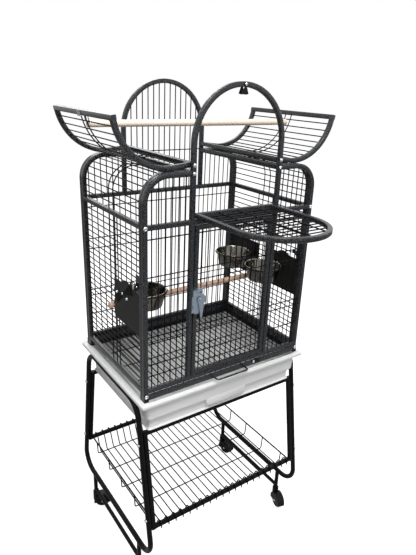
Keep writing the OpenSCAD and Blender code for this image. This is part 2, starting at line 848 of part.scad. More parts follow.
module feeder_door() {
    translate([-plate_x, 0, 0]) feeder_plate();
    for (n = [9, 11, 13]) translate([-rod_x, -feeder_hinge_y, between_bars(n) - 6]) difference() {
        cylinder(h = 12, r = knuckle_r);
        translate([0, 0, -1]) cylinder(h = 14, d = wire + 2 * pin_fit);
    }
    translate([-cup_x, -ring_y, ring_z]) rotate_extrude() translate([cup_r, 0]) circle(d = ring_rod);
    for (y = [-ring_hold, ring_hold]) translate([0, y - ring_y, ring_z])
        wire_x(-plate_x, -cup_x - sqrt(cup_r * cup_r - ring_hold * ring_hold), ring_rod);
}

module feeder_latch() {
    reach = turn_len / 2;
    translate([-plate_x - sheet, -turn_y, turn_z]) rotate([0, -90, 0]) {
        translate([0, 0, seat_gap]) rotate([0, 0, 60]) linear_extrude(1.5) {
            circle(d = 14);
            for (side = [0, 180]) rotate([0, 0, side]) intersection() {
                polygon([[0, -5], [reach, -0.28 * reach], [reach, 0.28 * reach], [0, 5]]);
                circle(r = reach);
            }
        }
        cylinder(h = 4, d = 8);
    }
}

module cup() {
    translate([-cup_x, -ring_y, ring_z + ring_rod / 2 + seat_gap]) rotate_extrude() {
        polygon([[0, 1 - cup_h], [0, -cup_h], [base_r, -cup_h], [base_r + 2, 2 - cup_h], [bowl_r, 0], [cup_r, 0],
                 [cup_r, 2], [bowl_r - 1, 2], [base_r + 1, 3 - cup_h], [base_r - 0.5, 1 - cup_h]]);
    }
}

module on_left() {
    on_tray() children();
}

module on_right_front() {
    on_tray() mirror([1, 0, 0]) children();
}

module on_right_rear() {
    on_tray() mirror([1, 0, 0]) mirror([0, 1, 0]) children();
}

module feeder_door_left() {
    color(frame_colour) on_left() feeder_door();
}

module feeder_door_front() {
    color(frame_colour) on_right_front() feeder_door();
}

module feeder_door_rear() {
    color(frame_colour) on_right_rear() feeder_door();
}

module feeder_latch_left() {
    color("black") on_left() feeder_latch();
}

module feeder_latch_front() {
    color("black") on_right_front() feeder_latch();
}

module feeder_latch_rear() {
    color("black") on_right_rear() feeder_latch();
}

module cup_left() {
    color("lightgray") on_left() cup();
}

module cup_front() {
    color("lightgray") on_right_front() cup();
}

module cup_rear() {
    color("lightgray") on_right_rear() cup();
}

// Hinge rods welded to the level bars, and the brackets with their bolts at the uprights
module feeder_fitting() {
    translate([-rod_x, -feeder_hinge_y, between_bars(8) - 3])
        cylinder(h = between_bars(14) - between_bars(8) + 6, d = wire);
    translate([-post_x - half, -inner_y, feeder_top_z + 4]) cube([sheet, 17, 48]);
    translate([-post_x - half - 2, -inner_y + 17, feeder_top_z + 8]) wire_z(0, 20, 6);
}

module feeder_fittings() {
    color(frame_colour) {
        on_left() feeder_fitting();
        on_right_front() feeder_fitting();
        on_right_rear() feeder_fitting();
    }
}

// Inner perch: a dowel right through both sides, with a notch at each end that sits on a level bar
module inner_perch() {
    bar_z = bar_level(perch_bar);
    z = bar_z + wire_r + seat_gap + 1;
    notch = wire + 2 * seat_gap;
    color("tan") on_tray() difference() {
        translate([0, 0, z]) rotate([0, 90, 0]) cylinder(h = 2 * (post_x + 12), d = inner_perch_d, center = true);
        both_sides() translate([-post_x - notch / 2, -inner_perch_d, z - inner_perch_d])
            cube([notch, 2 * inner_perch_d, inner_perch_d - 1]);
    }
}

// ---- Grate ----

grate_half = inner_x - sheet - 2 - grate_rod / 2;
grate_front_y = -cage_d / 2 + sheet + grate_rod / 2;
grate_rear_y = inner_y - sheet - 2 - grate_rod / 2;
grate_z = channel_low + sheet + seat_gap + grate_rod / 2;

module grate() {
    bars = floor(2 * grate_half / bar_pitch) - 1;
    color(frame_colour) on_tray() translate([0, 0, grate_z]) {
        both_sides() translate([-grate_half, 0, 0]) wire_y(grate_front_y, grate_rear_y + grate_rod / 2, grate_rod);
        for (y = [grate_front_y, grate_rear_y])
            translate([0, y, 0]) wire_x(-grate_half - grate_rod / 2, grate_half + grate_rod / 2, grate_rod);
        for (i = [0 : bars - 1]) translate([(i - (bars - 1) / 2) * bar_pitch, 0, 0])
            wire_y(grate_front_y, grate_rear_y);
        for (k = [1 : 3]) translate([0, grate_front_y + k * (grate_rear_y - grate_front_y) / 4, layer])
            wire_x(-grate_half, grate_half);
    }
}

handle_x = 1.5;
handle_z = 8.5;
handle_rod = 5;
handle_r = 8;
lock_x = 96.3;
lock_z = 14;

module grate_front() {
    w = handle_w / 2;
    reach = handle_reach - handle_r;
    color(frame_colour) on_tray() {
        translate([-inner_x + 1, -cage_d / 2, channel_low]) cube([2 * inner_x - 2, sheet, flange_h]);
        translate([handle_x, -cage_d / 2, channel_low + handle_z]) {
            both_sides() {
                translate([-w, 0, 0]) wire_y(-reach, sheet / 2, handle_rod);
                translate([handle_r - w, -reach, 0]) rotate([0, 0, 180]) rotate_extrude(angle = 90)
                    translate([handle_r, 0]) rotate([0, 0, 22.5]) circle(d = handle_rod / cos(22.5), $fn = 8);
            }
            translate([0, -handle_reach, 0]) wire_x(handle_r - w, w - handle_r, handle_rod);
        }
    }
}

module grate_lock() {
    color([0.1, 0.1, 0.1]) on_tray() translate([lock_x, -cage_d / 2 - seat_gap, lock_z]) {
        rotate([90, 0, 0]) linear_extrude(2) {
            circle(d = 11);
            polygon([[0, -5.5], [26, -9], [26, 4], [0, 5.5]]);
        }
        translate([0, -2, 0]) screw_head_y(8, 2);
    }
}

// ---- Tray ----

module rounded(w, d, r) {
    square([w - 2 * r, d], center = true);
    square([w, d - 2 * r], center = true);
    for (x = [-1, 1], y = [-1, 1]) translate([x * (w / 2 - r), y * (d / 2 - r)]) circle(r = r);
}

module slab(z, t, w, d, r) {
    translate([0, 0, z]) linear_extrude(t) rounded(w, d, r);
}

module tray() {
    rib_half = loop_top_y - 50;
    pad_y = -body_d / 2 + 20;
    low_w = body_w - 4 * tray_wall;
    low_d = body_d - 6 * tray_wall;
    low_corner = body_corner - 1;
    skin = 2;
    color("whitesmoke") translate([0, 0, rim_z]) difference() {
        union() {
            slab(-tray_wall, tray_wall, rim_w, rim_d, rim_corner);
            slab(-ledge_depth, ledge_depth, body_w, body_d, body_corner);
            slab(-tray_depth, tray_depth, low_w, low_d, low_corner);
            difference() {
                slab(-skirt_h, skirt_h, rim_w, rim_d, rim_corner);
                slab(-skirt_h - 1, skirt_h + 1, rim_w - 2 * skin, rim_d - 2 * skin, rim_corner - skin);
            }
            both_sides() translate([-loop_half - 2, -rib_half, -skirt_h]) cube([4, 2 * rib_half, skirt_h]);
            translate([0, pad_y, -ledge_depth]) rotate([90, 0, 0]) linear_extrude(body_d / 2 + pad_y)
                polygon([[-75, 1], [71, 1], [71, -12], [61, -22], [-65, -22], [-75, -12]]);
        }
        slab(-ledge_depth + tray_wall, ledge_depth, body_w - 2 * tray_wall, body_d - 2 * tray_wall,
             body_corner - tray_wall);
        slab(-tray_depth + tray_wall, tray_depth, low_w - 2 * tray_wall, low_d - 2 * tray_wall, low_corner - tray_wall);
    }
}

// ---- Stand ----

// Straight stretch of round tube between two bends in the YZ plane. Its ends run a little way into the bends,
// inside their skin
splice = 1;
splice_step = 0.3;

module round_between(a, b, d) {
    v = b - a;
    translate([0, a[0], a[1]]) rotate([atan2(-v[0], v[1]), 0, 0]) translate([0, 0, -splice])
        cylinder(h = norm(v) + 2 * splice, d = d - splice_step);
}

// Bent round tube in the YZ plane, from an angle over +Y through a sweep
module round_bend_yz(radius, from, sweep, d) {
    rotate([0, 0, 90]) rotate([90, 0, 0]) rotate([0, 0, from]) rotate_extrude(angle = sweep)
        translate([radius, 0]) circle(d = d);
}

// Slanted rear leg of a loop, between its bends
top_y = loop_top_y - loop_r * tan(45 - leg_tilt / 2);
low_y = loop_bottom_y - loop_r * tan(45 + leg_tilt / 2);
top_c = [top_y, loop_top_z - loop_r];
low_c = [low_y, loop_bottom_z + loop_r];

module stand_leg() {
    n = [cos(leg_tilt), sin(leg_tilt)];
    round_between(top_c + loop_r * n, low_c + loop_r * n, stand_tube);
}

// Loop: top tube, two slanted legs, bottom tube, with round corners; posts and a foot bar under it
module stand_side() {
    r = loop_r;
    translate([-loop_half, 0, 0]) difference() {
        union() {
            front_and_rear() {
                translate([0, top_c[0], top_c[1]]) round_bend_yz(r, leg_tilt, 90 - leg_tilt, stand_tube);
                stand_leg();
                translate([0, low_c[0], low_c[1]]) round_bend_yz(r, -90, 90 + leg_tilt, stand_tube);
                translate([0, post_y, foot_z - 10]) cylinder(h = loop_bottom_z - foot_z + 10, d = foot_tube);
            }
            round_between([-top_y, loop_top_z], [top_y, loop_top_z], stand_tube);
            round_between([-low_y, loop_bottom_z], [low_y, loop_bottom_z], stand_tube);
            round_between([-post_y, foot_z], [post_y, foot_z], foot_tube - 1);
        }
        front_and_rear() translate([0, post_y, 0]) cylinder(h = foot_z + 30, d = stem_d + 2 * pin_fit);
    }
}

module stand_side_left() {
    color(stand_colour) stand_side();
}

module stand_side_right() {
    color(stand_colour) mirror([1, 0, 0]) stand_side();
}

// Distance of a loop's leg from the middle at a height
function leg_y(z) = loop_top_y + (loop_top_z - z) * tan(leg_tilt);

// Ladder in the slanted plane of the front legs
module ladder() {
    length = (ladder_top_z - ladder_bottom_z) / cos(leg_tilt);
    translate([0, -leg_y(ladder_bottom_z), ladder_bottom_z]) rotate([-leg_tilt, 0, 0]) {
        both_sides() translate([-ladder_x, 0, 0]) bar_z(-half, length + half);
        for (z = [0, length]) translate([0, 0, z]) bar_x(-ladder_x, ladder_x);
    }
}

module ladder_front() {
    color(stand_colour) ladder();
}

module ladder_rear() {
    color(stand_colour) mirror([0, 1, 0]) ladder();
}

// Wire shelf hooked over both bottom rails
module shelf() {
    r = shelf_wire / 2;
    rail_y = leg_y(ladder_bottom_z);
    floor_z = ladder_bottom_z - shelf_drop;
    top_z = ladder_bottom_z + half / cos(leg_tilt) + r + 1.5;
    floor_y = rail_y - 34;
    n = (shelf_wires - 1) / 2;
    color(stand_colour) {
        for (i = [-n : n]) translate([i * shelf_pitch, 0, 0]) {
            translate([0, 0, floor_z]) wire_y(-floor_y, floor_y, shelf_wire);
            front_and_rear() {
                rod_between([0, floor_y, floor_z], [0, rail_y - half - 2, top_z], shelf_wire, r / 2);
                translate([0, 0, top_z]) wire_y(rail_y - half - 2 - r, rail_y + half + 2 + r, shelf_wire);
                translate([0, rail_y + half + 2.5, 0]) wire_z(top_z - 9, top_z, shelf_wire);
            }
        }
        for (y = [-0.97, -0.48, 0, 0.48, 0.97] * floor_y) {
            w = n * shelf_pitch + 12;
            translate([0, y, floor_z - shelf_wire * 0.8]) wire_x(-w, w, shelf_wire);
            both_sides() rod_between([-w, y, floor_z - shelf_wire * 0.8],
                                     [-w - 3, y, ladder_bottom_z], shelf_wire, r / 2);
        }
        both_sides() translate([-n * shelf_pitch - 15, 0, ladder_bottom_z])
            wire_y(-rail_y + half + 3, rail_y - half - 3, shelf_wire);
    }
}

// ---- Casters ----

// Left-handed casters stand at x = -loop_half. Yaw turns the wheel round the stem
hood_t = 2.5;

module caster(x, y, yaw) {
    r = wheel_d / 2 + 3;
    w = wheel_w + 2 * hood_t + 2;
    translate([x, y, 0]) rotate([0, 0, yaw]) {
        difference() {
            union() {
                intersection() {
                    translate([trail, 0, wheel_d / 2]) rotate([90, 0, 0]) cylinder(h = w, r = r + hood_t, center = true);
                    translate([-100, -50, wheel_d / 2 - 6]) cube([200, 100, 100]);
                }
                translate([0, 0, wheel_d / 2 + 5]) cylinder(h = foot_z - 10 - seat_gap - wheel_d / 2 - 5, r = 11);
            }
            translate([trail, 0, wheel_d / 2]) rotate([90, 0, 0])
                cylinder(h = wheel_w + 2, r = r, center = true);
        }
        translate([0, 0, foot_z - 12]) cylinder(h = 36, d = stem_d);
        translate([trail, 0, wheel_d / 2]) rotate([90, 0, 0]) cylinder(h = w, d = 6, center = true);
    }
}

module wheel(x, y, yaw) {
    translate([x, y, 0]) rotate([0, 0, yaw]) translate([trail, 0, wheel_d / 2]) rotate([90, 0, 0]) rotate_extrude() {
        w = wheel_w / 2;
        r = wheel_d / 2;
        polygon([[3 + pin_fit, -w], [10, -w], [11, 2 - w], [r - 7, 2 - w], [r - 5, -w], [r - 2, -w], [r, 2 - w],
                 [r, w - 2], [r - 2, w], [r - 5, w], [r - 7, w - 2], [11, w - 2], [10, w], [3 + pin_fit, w]]);
    }
}

caster_yaw = [-80, -105, -24, -77];

module caster_front_left() {
    color(stand_colour) caster(-loop_half, -post_y, caster_yaw[0]);
}

module caster_front_right() {
    color(stand_colour) caster(loop_half, -post_y, caster_yaw[1]);
}

module caster_rear_left() {
    color(stand_colour) caster(-loop_half, post_y, caster_yaw[2]);
}

module caster_rear_right() {
    color(stand_colour) caster(loop_half, post_y, caster_yaw[3]);
}

module wheel_front_left() {
    color("gray") wheel(-loop_half, -post_y, caster_yaw[0]);
}

module wheel_front_right() {
    color("gray") wheel(loop_half, -post_y, caster_yaw[1]);
}

module wheel_rear_left() {
    color("gray") wheel(-loop_half, post_y, caster_yaw[2]);
}

module wheel_rear_right() {
    color("gray") wheel(loop_half, post_y, caster_yaw[3]);
}

// Bolt heads where the ladders meet the legs, hollowed to sit on the round tube
module stand_bolts() {
    color(chrome_colour) both_sides() front_and_rear() difference() {
        for (z = [ladder_top_z - 30, ladder_bottom_z + 30]) translate([-loop_half, -leg_y(z), z]) rotate([0, -90, 0])
            cylinder(h = stand_tube / 2 + 2.4, d = 10);
        translate([-loop_half, 0, 0]) mirror([0, 1, 0]) stand_leg();
    }
}

front_frame();
front_arch();
rear_frame();
rear_arch();
side_frame_left();
side_frame_right();
front_wires_left();
front_wires_right();
rear_wires();
side_wires_left();
side_wires_right();
shoulder_wires_left();
shoulder_wires_right();
base_channel();
corner_feet();
frame_screws();
hinge_pins();
dome_frame_left();
dome_wires_left();
dome_frame_right();
dome_wires_right();
dome_hooks();
landing_frame();
landing_wires();
arch_latch();
door_turn();
door_frame();
door_wires();
latch_case();
latch_lever();
feeder_door_left();
feeder_door_front();
feeder_door_rear();
feeder_latch_left();
feeder_latch_front();
feeder_latch_rear();
cup_left();
cup_front();
cup_rear();
feeder_fittings();
inner_perch();
top_perch();
grate();
grate_front();
grate_lock();
tray();
stand_side_left();
stand_side_right();
ladder_front();
ladder_rear();
shelf();
caster_front_left();
caster_front_right();
caster_rear_left();
caster_rear_right();
wheel_front_left();
wheel_front_right();
wheel_rear_left();
wheel_rear_right();
stand_bolts();
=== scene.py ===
"""Bird cage on a wheeled stand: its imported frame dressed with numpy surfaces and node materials."""

import json

import bmesh
import bpy
import numpy as np
from mathutils import Matrix, Vector


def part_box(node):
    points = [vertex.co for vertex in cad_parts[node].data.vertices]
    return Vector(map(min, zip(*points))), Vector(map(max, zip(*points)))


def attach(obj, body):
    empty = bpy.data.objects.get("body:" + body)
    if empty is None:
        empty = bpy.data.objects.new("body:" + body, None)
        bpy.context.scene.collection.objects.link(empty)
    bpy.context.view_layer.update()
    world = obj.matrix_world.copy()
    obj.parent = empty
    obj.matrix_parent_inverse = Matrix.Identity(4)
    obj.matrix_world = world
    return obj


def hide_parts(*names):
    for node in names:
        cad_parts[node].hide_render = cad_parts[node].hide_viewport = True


bl_info = {
    "name": "Bird cage on a wheeled stand",
    "version": (1, 0, 0),
    "blender": (4, 5, 0),
    "location": "View3D > Sidebar > Bird Cage",
    "description": "Builds the finished look of a bird cage on a wheeled stand around its packed frame",
    "category": "Object",
}

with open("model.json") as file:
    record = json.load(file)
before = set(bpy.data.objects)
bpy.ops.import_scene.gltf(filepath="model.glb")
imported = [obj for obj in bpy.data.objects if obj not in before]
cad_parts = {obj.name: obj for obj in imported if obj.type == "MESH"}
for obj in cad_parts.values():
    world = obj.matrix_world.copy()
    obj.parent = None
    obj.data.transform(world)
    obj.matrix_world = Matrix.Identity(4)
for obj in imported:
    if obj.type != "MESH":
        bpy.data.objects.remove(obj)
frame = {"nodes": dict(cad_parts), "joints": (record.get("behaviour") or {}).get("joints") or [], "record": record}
TAU = 2 * np.pi
CAGE = "cage_and_stand"
FLOOR = 667  # Height of the cage's lower edge over the ground, in millimetres
HALF_TUBE = 6.35  # Half of the frames' square tube, in millimetres


# ---------------------------------------------------------------- shapes

def grid(points):
    """Quads over rings of points (n, m, 3), one to each cell. Each ring closes on itself."""
    n, m = points.shape[:2]
    i, j = np.meshgrid(np.arange(n - 1), np.arange(m), indexing="ij")
    j2 = (j + 1) % m
    quads = np.stack([i * m + j, (i + 1) * m + j, (i + 1) * m + j2, i * m + j2], -1).reshape(-1, 4)
    return points.reshape(-1, 3), quads.tolist()


def capped(points):
    """A tube from rings of points (n, m, 3), each closed on itself, with a flat face over each end ring."""
    verts, faces = grid(points)
    n, m = points.shape[:2]
    faces.append(list(range(m))[::-1])
    faces.append([(n - 1) * m + k for k in range(m)])
    return verts, faces


def frames_along(path, up):
    """Tangent, side and lift along a path: the side is up x tangent, and the lift is tangent x side."""
    t = np.gradient(path, axis=0)
    t /= np.linalg.norm(t, axis=1, keepdims=True)
    side = np.cross(np.broadcast_to(np.asarray(up, float), t.shape), t)
    side /= np.linalg.norm(side, axis=1, keepdims=True)
    return t, side, np.cross(t, side)


def sweep(profile, path, up):
    """Profile (m, 2) carried along a path (n, 3): point = path + side * p0 + lift * p1."""
    path = np.asarray(path, float)
    _, side, lift = frames_along(path, up)
    rings = path[:, None] + side[:, None] * profile[None, :, :1] + lift[:, None] * profile[None, :, 1:]
    return capped(rings)


def circle(r, m):
    """A circle of radius r as m points: (r cos a, r sin a)."""
    a = np.arange(m) / m * TAU
    return np.stack([r * np.cos(a), r * np.sin(a)], -1)


def lathe(profile, m=48):
    """Profile of (radius, height) turned about Z: (r cos a, r sin a, z). Ends at radius 0 close the poles."""
    profile = np.asarray(profile, float)
    a = np.arange(m) / m * TAU
    r, z = profile[:, :1], profile[:, 1:]
    points = np.stack([r * np.cos(a), r * np.sin(a), np.broadcast_to(z, (len(profile), m))], -1)
    return grid(points)


def fillet(corners, radius, k=5):
    """A polyline whose inner corners are rounded.

    Each becomes a quadratic bend of k + 1 points, from a radius before the corner to a radius after it."""
    corners = np.asarray(corners, float)
    a, b, c = corners[:-2], corners[1:-1], corners[2:]
    d1, d2 = a - b, c - b
    l1 = np.linalg.norm(d1, axis=1, keepdims=True)
    l2 = np.linalg.norm(d2, axis=1, keepdims=True)
    r = np.minimum(radius, np.minimum(l1, l2) * 0.49)
    p, q = b + d1 / l1 * r, b + d2 / l2 * r
    t = np.linspace(0, 1, k + 1)[None, :, None]
    bends = p[:, None] * (1 - t) ** 2 + b[:, None] * 2 * t * (1 - t) + q[:, None] * t ** 2
    return np.concatenate([corners[:1], bends.reshape(-1, corners.shape[1]), corners[-1:]])


def placed(shape, matrix):
    """The shape's points carried by a 4 x 4 matrix."""
    verts, faces = shape
    m = np.array(matrix, float)
    return verts @ m[:3, :3].T + m[:3, 3], faces


def facing(direction, at):
    """Matrix that turns +Z to a direction and moves to a place."""
    turn = Vector((0, 0, 1)).rotation_difference(Vector(direction).normalized()).to_matrix().to_4x4()
    return Matrix.Translation(Vector(at)) @ turn


def piece(name, shapes, body, coat, stands_for=(), sharp=38):
    """Merges shapes in millimetres into one welded mesh in metres, faces outwards, and rides it on a body."""
    verts, faces, base = [], [], 0
    for v, f in shapes:
        verts.append(v)
        faces += [[k + base for k in q] for q in f]
        base += len(v)
    mesh = bpy.data.meshes.new(name)
    mesh.from_pydata((np.concatenate(verts) / 1000).tolist(), [], faces)
    bm = bmesh.new()
    bm.from_mesh(mesh)
    bmesh.ops.remove_doubles(bm, verts=bm.verts, dist=2e-6)
    bmesh.ops.dissolve_degenerate(bm, edges=bm.edges, dist=1e-7)
    bmesh.ops.recalc_face_normals(bm, faces=bm.faces)
    bm.to_mesh(mesh)
    bm.free()
    mesh.shade_smooth()
    mesh.set_sharp_from_angle(angle=np.radians(sharp))
    mesh.materials.append(finish(coat))
    made = bpy.data.objects.new(name, mesh)
    bpy.context.scene.collection.objects.link(made)
    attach(made, body)
    if stands_for:
        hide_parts(*stands_for)
    return made


# ---------------------------------------------------------------- finishes

def new_finish(name, colour, roughness, metallic=0.0, **sockets):
    """A material with one Principled shader, and the tools to add nodes to it."""
    made = bpy.data.materials.new(name)
    made.use_nodes = True
    tree = made.node_tree
    shader = tree.nodes["Principled BSDF"]
    shader.inputs["Base Color"].default_value = (*colour, 1)
    shader.inputs["Roughness"].default_value = roughness
    shader.inputs["Metallic"].default_value = metallic
    for key, value in sockets.items():
        shader.inputs[key.replace("_", " ")].default_value = value
    return made, tree, shader


def noise(tree, scale, stretch=(1, 1, 1), **values):
    """A noise node that reads Object coordinates in metres, stretched along the axes."""
    place = tree.nodes.new("ShaderNodeTexCoord")
    mapping = tree.nodes.new("ShaderNodeMapping")
    mapping.inputs["Scale"].default_value = stretch
    node = tree.nodes.new("ShaderNodeTexNoise")
    node.inputs["Scale"].default_value = scale
    for key, value in values.items():
        node.inputs[key.replace("_", " ")].default_value = value
    tree.links.new(place.outputs["Object"], mapping.inputs["Vector"])
    tree.links.new(mapping.outputs["Vector"], node.inputs["Vector"])
    return node


def ramp(tree, source, stops):
    """A colour ramp over a node's output. Each stop is (place, colour)."""
    node = tree.nodes.new("ShaderNodeValToRGB")
    elements = node.color_ramp.elements
    while len(elements) < len(stops):
        elements.new(0.5)
    for element, (at, colour) in zip(elements, stops):
        element.position = at
        element.color = (*colour, 1) if len(colour) == 3 else colour
    tree.links.new(source, node.inputs["Fac"])
    return node


def grey(v):
    return (v, v, v)


def bump(tree, shader, source, strength, distance):
    node = tree.nodes.new("ShaderNodeBump")
    node.inputs["Strength"].default_value = strength
    node.inputs["Distance"].default_value = distance
    tree.links.new(source, node.inputs["Height"])
    tree.links.new(node.outputs["Normal"], shader.inputs["Normal"])
    return node


def hammered_coat(name, dark, light, roughness, scale, shine):
    """Powder coat with the small cells of a hammertone: noise for the colour, the gloss and the dimples."""
    made, tree, shader = new_finish(name, dark, roughness, Specular_IOR_Level=shine)
    cells = noise(tree, scale, Detail=2.0, Roughness=0.55)
    between = tuple(np.array(dark) * 0.65 + np.array(light) * 0.35)
    colours = ramp(tree, cells.outputs["Fac"], [(0.39, dark), (0.52, between), (0.66, light)])
    tree.links.new(colours.outputs["Color"], shader.inputs["Base Color"])
    gloss = ramp(tree, cells.outputs["Fac"], [(0.3, grey(roughness - 0.1)), (0.7, grey(roughness + 0.12))])
    tree.links.new(gloss.outputs["Color"], shader.inputs["Roughness"])
    bump(tree, shader, cells.outputs["Fac"], 0.45, 0.0004)
    return made


def moulded(name, colour, shade, roughness, shine=0.15):
    """Moulded plastic: slow tone changes and a fine satin grain."""
    made, tree, shader = new_finish(name, colour, roughness, Specular_IOR_Level=shine)
    slow = noise(tree, 9, Detail=3.0)
    tone = ramp(tree, slow.outputs["Fac"], [(0.3, shade), (0.7, colour)])
    tree.links.new(tone.outputs["Color"], shader.inputs["Base Color"])
    fine = noise(tree, 1280, Detail=2.0)
    gloss = ramp(tree, fine.outputs["Fac"], [(0.35, grey(roughness - 0.06)), (0.65, grey(roughness + 0.08))])
    tree.links.new(gloss.outputs["Color"], shader.inputs["Roughness"])
    bump(tree, shader, fine.outputs["Fac"], 0.35, 0.00012)
    return made


def bright_metal(name, colour, roughness, scale=220, stretch=(1, 1, 1)):
    """Plated or polished metal: faint smears in the gloss and in the tone."""
    made, tree, shader = new_finish(name, colour, roughness, 1.0)
    smear = noise(tree, scale, stretch, Detail=4.0)
    stops = [(0.3, grey(roughness - 0.05)), (0.75, grey(roughness + 0.12))]
    gloss = ramp(tree, smear.outputs["Fac"], stops)
    tree.links.new(gloss.outputs["Color"], shader.inputs["Roughness"])
    tone = ramp(tree, smear.outputs["Fac"], [(0.25, tuple(0.86 * c for c in colour)), (0.75, colour)])
    tree.links.new(tone.outputs["Color"], shader.inputs["Base Color"])
    bump(tree, shader, smear.outputs["Fac"], 0.15, 0.0002)
    return made


def dowel_wood(name, pale, dark):
    """Bare dowel: long grain streaks along X, pores and slow bands."""
    made, tree, shader = new_finish(name, pale, 0.55)
    grain = noise(tree, 300, (0.035, 1, 1), Detail=5.0, Distortion=0.3)
    bands = noise(tree, 28, (0.25, 1, 1), Detail=2.0)
    mix = tree.nodes.new("ShaderNodeMix")
    mix.data_type = "FLOAT"
    mix.inputs["Factor"].default_value = 0.45
    tree.links.new(grain.outputs["Fac"], mix.inputs["A"])
    tree.links.new(bands.outputs["Fac"], mix.inputs["B"])
    between = tuple(0.5 * (np.array(dark) + np.array(pale)))
    tone = ramp(tree, mix.outputs["Result"], [(0.3, dark), (0.5, between), (0.66, pale)])
    tree.links.new(tone.outputs["Color"], shader.inputs["Base Color"])
    bump(tree, shader, grain.outputs["Fac"], 0.3, 0.0003)
    return made


FINISHES = {}


def shaded(colour, share=1):
    """A colour times a share."""
    return tuple(share * v for v in colour)


def finish(name):
    """Makes each finish once. The colours come from the settings."""
    if name in FINISHES:
        return FINISHES[name]
    c = bpy.context.scene.bird_cage_colours
    coats = {
        "frame_coat": ("Frame coat", shaded(c.frame_dark), shaded(c.frame_light), 0.25, 340, 0.42),
        "wire_coat": ("Wire coat", shaded(c.wire), shaded(c.wire, 2.2), 0.4, 500, 0.08),
        "stand_coat": ("Stand coat", shaded(c.stand), shaded(c.stand, 2.4), 0.3, 420, 0.1),
        "sheet_coat": ("Sheet coat", shaded(c.sheet, 0.9), shaded(c.sheet, 1.15), 0.55, 420, 0.16),
    }
    plastics = {
        "tray_plastic": ("Tray plastic", shaded(c.tray), shaded(c.tray, 0.95), 0.3, 0.5),
        "black_plastic": ("Black plastic", (0.007, 0.007, 0.0075), (0.004, 0.004, 0.0045), 0.3),
        "grey_plastic": ("Tyres", (0.005, 0.005, 0.0055), (0.003, 0.003, 0.0035), 0.3),
        "latch_black": ("Black latches", (0.003, 0.003, 0.0032), (0.002, 0.002, 0.0022), 0.45, 0.04),
        "hub_plastic": ("Wheel hubs", (0.016, 0.016, 0.017), (0.01, 0.01, 0.011), 0.22, 0.4),
    }
    metals = {
        "zinc": ("Cast zinc", shaded(c.zinc), 0.34, 160),
        "chrome": ("Bright screws", shaded(c.chrome), 0.16),
        # The cups' steel, darkened: painted shade in the bowls
        "stainless": ("Stainless cups", shaded(c.stainless), 0.14, 120, (1, 1, 0.1)),
        # The same steel made bright for the ring over the cups' lips: a painted highlight
        "lip_highlight_steel": ("Polished rims", (0.62, 0.6, 0.55), 0.12, 200),
    }
    woods = {
        "beech": ("Beech perch", shaded(c.upper_perch), shaded(c.upper_perch, 0.88)),
        "pine": ("Inner perch", shaded(c.inner_perch), shaded(c.inner_perch, 0.7)),
    }
    makers = (hammered_coat, coats), (moulded, plastics), (bright_metal, metals), (dowel_wood, woods)
    for maker, kinds in makers:
        if name in kinds:
            FINISHES[name] = maker(*kinds[name])
    return FINISHES[name]


# ---------------------------------------------------------------- settings

def size(name, default, text):
    return bpy.props.FloatProperty(name=name, description=text, default=default, unit="LENGTH", precision=4)


def colour(name, default, text):
    return bpy.props.FloatVectorProperty(
        name=name, description=text, default=default, subtype="COLOR", size=3, min=0, max=1)


class BirdCageSizes(bpy.types.PropertyGroup):
    tray_rim: size("Tray rim", 0.0035, "Radius of the rolled edge of the tray's rim")
    body_x: size("Tray body, half width", 0.272, "Half of the width of the tray's body under its rim")
    body_y: size("Tray body, half depth", 0.202, "Half of the depth of the tray's body under its rim")
    basin_x: size("Basin, half width", 0.266, "Half of the width of the tray's lower basin")
    basin_y: size("Basin, half depth", 0.193, "Half of the depth of the tray's lower basin")
    ledge: size("Ledge", 0.063, "Depth of the ledge round the tray under its rim")
    latch_reach: size("Latch reach", 0.05, "Length of one wing of the feeder doors' latches")
    shelf_wire: size("Shelf wire", 0.0039, "Diameter of the shelf's wires")
    screw_dome: size("Screw dome", 0.0026, "Height of the domed screw heads")


class BirdCageColours(bpy.types.PropertyGroup):
    frame_dark: colour("Frame, dark cells", (0.002, 0.0021, 0.0026), "Darker colour of the hammertone coat")
    frame_light: colour("Frame, light cells", (0.058, 0.062, 0.071), "Lighter colour of the hammertone coat")
    wire: colour("Wires", (0.0035, 0.0035, 0.004), "Coat of the bar wires")
    sheet: colour("Feeder plates", (0.018, 0.0176, 0.0165), "Coat of the feeder doors' sheet")
    stand: colour("Stand", (0.0028, 0.0026, 0.0025), "Coat of the stand")
    tray: colour("Tray", (0.9, 0.905, 0.9), "Plastic of the tray")
    zinc: colour("Latch", (0.42, 0.49, 0.58), "Cast zinc of the door latch")
    chrome: colour("Screws", (0.74, 0.75, 0.77), "Plated screws and hooks")
    # The cups' steel, darkened: painted shade
    stainless: colour("Cups", (0.2, 0.19, 0.165), "Stainless steel of the cups")
    upper_perch: colour("Upper perch", (0.93, 0.79, 0.67), "Wood of the upper perch")
    inner_perch: colour("Inner perch", (0.80, 0.53, 0.40), "Wood of the inner perch")


# ---------------------------------------------------------------- pieces

def corners(node):
    """Lowest and highest corner of a CAD node at rest, in millimetres."""
    return np.array([list(v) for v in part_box(node)]) * 1000


def moved(shape, x=0, y=0, z=0):
    """The shape carried by a distance along each axis."""
    return shape[0] + np.array([x, y, z]), shape[1]


def turned(shape, direction, at):
    """The shape with its +Z turned to a direction and its origin moved to a place."""
    return placed(shape, facing(direction, at))


